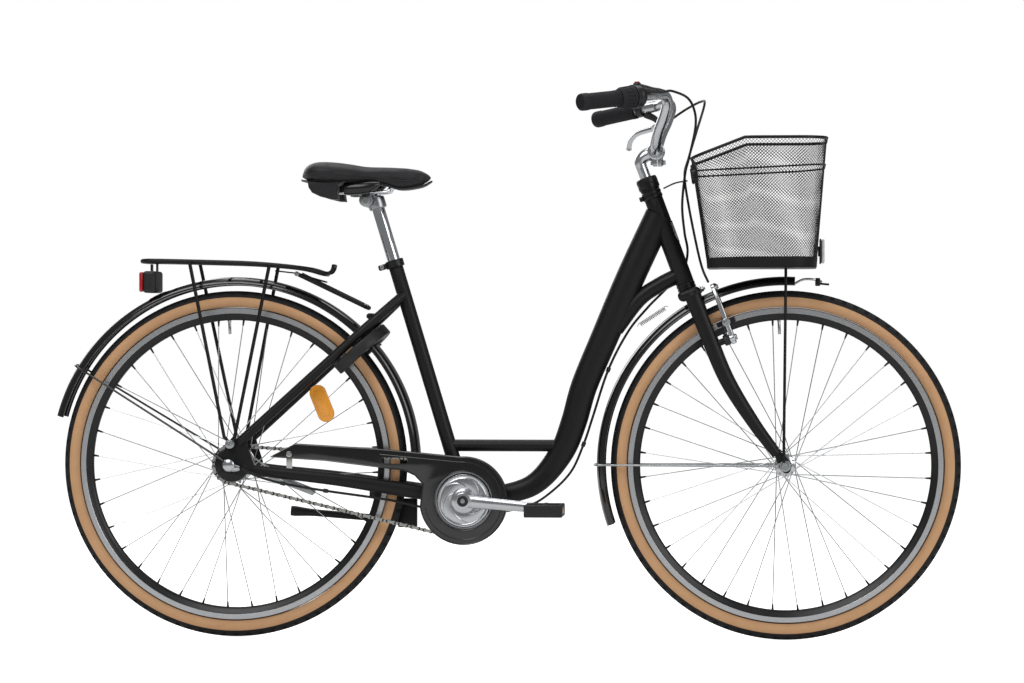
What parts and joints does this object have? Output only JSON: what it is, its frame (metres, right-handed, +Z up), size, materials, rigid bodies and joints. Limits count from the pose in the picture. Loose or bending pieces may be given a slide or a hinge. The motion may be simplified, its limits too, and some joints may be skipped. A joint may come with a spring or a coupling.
{
  "type": "city bicycle",
  "caption": "Step-through city bicycle with a front mesh basket, rear rack, fenders, chain guard, ring lock and its own side stand folded up.",
  "frame": {"origin": "on the ground, midway between the rear end of the rear fender and the front of the front tyre, in the plane of the wheels", "axes": "+X forward toward the basket, +Y to the rider's left, +Z up"},
  "size_m": [1.8212, 0.6004, 1.1031],
  "materials": {
    "frame_paint": "matt black powder coat",
    "gloss_black_paint": "gloss black enamel on rolled sheet",
    "black_plastic": "fine grained moulded plastic",
    "black_rubber": "soft moulded rubber and vinyl sheath",
    "tyre_rubber": "black tread rubber with tan side walls",
    "black_alloy": "black anodised and painted aluminium",
    "polished_alloy": "polished aluminium",
    "chrome": "bright chrome plate",
    "zinc_steel": "zinc plated steel",
    "amber_plastic": "clear amber prismatic plastic",
    "red_plastic": "clear red prismatic plastic",
    "seat_skin": "soft black synthetic leather"
  },
  "bodies": {
    "frame": {"frame": "frame_paint", "headset_lower_cup": "black_alloy", "headset_upper_cup": "black_alloy", "seat_clamp": "black_alloy", "bottom_bracket": "black_alloy", "rear_fender": "gloss_black_paint", "rear_fender_stay": "gloss_black_paint", "rack_platform": "frame_paint", "rack_leg_left": "frame_paint", "rack_leg_right": "frame_paint", "rack_front_stay": "frame_paint", "tail_light_body": "black_plastic", "tail_light_lens": "red_plastic", "chain_guard": "gloss_black_paint", "chain": "zinc_steel", "ring_lock_body": "black_plastic", "kickstand_bracket": "frame_paint", "rear_axle": "zinc_steel", "click_box": "polished_alloy", "brake_arm_rear": "zinc_steel", "shift_cable": "black_rubber"},
    "steering": {"fork": "frame_paint", "headset_top_nut": "black_alloy", "stem": "polished_alloy", "handlebar": "polished_alloy", "left_grip": "black_rubber", "right_grip": "black_rubber", "shifter_housing": "black_plastic", "brake_lever_body": "black_plastic", "brake_cable": "black_rubber", "front_fender": "gloss_black_paint", "front_fender_stay": "zinc_steel", "basket": "frame_paint", "basket_support": "frame_paint", "front_axle": "zinc_steel"},
    "shifter_grip": {"shifter_twist_grip": "black_rubber"},
    "brake_lever": {"brake_lever_blade": "polished_alloy"},
    "brake_arm_left": {"brake_arm_left": "polished_alloy"},
    "brake_arm_right": {"brake_arm_right": "polished_alloy"},
    "front_wheel": {"front_tyre": "tyre_rubber", "front_rim": "black_alloy", "front_hub_spokes": "polished_alloy"},
    "rear_wheel": {"rear_tyre": "tyre_rubber", "rear_rim": "black_alloy", "rear_hub_spokes": "polished_alloy", "spoke_reflector": "amber_plastic"},
    "sprocket": {"sprocket": "zinc_steel"},
    "cranks": {"crank_axle": "zinc_steel", "chainring": "polished_alloy", "right_crank": "polished_alloy", "left_crank": "polished_alloy"},
    "right_pedal": {"right_pedal": "black_plastic"},
    "left_pedal": {"left_pedal": "black_plastic"},
    "kickstand": {"kickstand_leg": "frame_paint"},
    "lock_shackle": {"lock_shackle": "chrome"},
    "seat": {"seatpost": "chrome", "saddle_clamp": "zinc_steel", "saddle_rails": "chrome", "saddle_base": "black_plastic", "saddle_cover": "seat_skin"}
  },
  "joints": [
    {"name": "steering_turn", "type": "hinge", "parent": "frame", "child": "steering", "pos_m": [0.50538, 0, 0.32799], "axis": [-0.3502, 0, 0.9367], "range_deg": [-60, 60], "stiffness_Nm_per_rad": 5, "deforming": ["shift_cable"]},
    {"name": "front_wheel_spin", "type": "hinge", "parent": "steering", "child": "front_wheel", "pos_m": [0.56158, 0, 0.349], "axis": [0, 1, 0], "continuous": true},
    {"name": "rear_wheel_spin", "type": "hinge", "parent": "frame", "child": "rear_wheel", "pos_m": [-0.54642, 0, 0.349], "axis": [0, 1, 0], "continuous": true},
    {"name": "crank_spin", "type": "hinge", "parent": "frame", "child": "cranks", "pos_m": [-0.07942, 0, 0.278], "axis": [0, 1, 0], "continuous": true},
    {"name": "sprocket_spin", "type": "hinge", "parent": "frame", "child": "sprocket", "pos_m": [-0.54642, 0, 0.349], "axis": [0, 1, 0], "continuous": true},
    {"name": "right_pedal_spin", "type": "hinge", "parent": "cranks", "child": "right_pedal", "pos_m": [0.08796, 0, 0.26365], "axis": [0, 1, 0], "continuous": true},
    {"name": "left_pedal_spin", "type": "hinge", "parent": "cranks", "child": "left_pedal", "pos_m": [-0.24681, 0, 0.29235], "axis": [0, 1, 0], "continuous": true},
    {"name": "shifter_twist", "type": "hinge", "parent": "steering", "child": "shifter_grip", "pos_m": [0.26393, -0.20639, 1.0731], "axis": [-0.7502, -0.6502, -0.12], "range_deg": [0, 60]},
    {"name": "brake_lever_pull", "type": "hinge", "parent": "steering", "child": "brake_lever", "pos_m": [0.29648, 0.18417, 1.03351], "axis": [0.6978, 0.5814, 0.4184], "range_deg": [0, 20], "stiffness_Nm_per_rad": 1.5, "springref_deg": -20.05},
    {"name": "brake_arm_left_swing", "type": "hinge", "parent": "steering", "child": "brake_arm_left", "pos_m": [0.45637, 0.043, 0.60326], "axis": [0.9367, 0, 0.3502], "range_deg": [0, 2.5]},
    {"name": "brake_arm_right_swing", "type": "hinge", "parent": "steering", "child": "brake_arm_right", "pos_m": [0.45637, -0.043, 0.60326], "axis": [-0.9367, 0, -0.3502], "range_deg": [0, 2.5]},
    {"name": "kickstand_fold", "type": "hinge", "parent": "frame", "child": "kickstand", "pos_m": [-0.20092, 0.0545, 0.232], "axis": [0, -0.9511, -0.309], "range_deg": [0, 95]},
    {"name": "shackle_turn", "type": "hinge", "parent": "frame", "child": "lock_shackle", "pos_m": [-0.29289, 0, 0.57554], "axis": [0.6663, 0, -0.7457], "range_deg": [0, 95]},
    {"name": "seatpost_slide", "type": "slide", "parent": "frame", "child": "seat", "axis": [-0.289, 0, 0.9573], "range_m": [-0.07, 0.09]}
  ],
  "couplings": [
    {"joint": "sprocket_spin", "follows": "crank_spin", "ratio": 2},
    {"joint": "brake_arm_left_swing", "follows": "brake_lever_pull", "ratio": 0.12},
    {"joint": "brake_arm_right_swing", "follows": "brake_lever_pull", "ratio": 0.12}
  ]
}
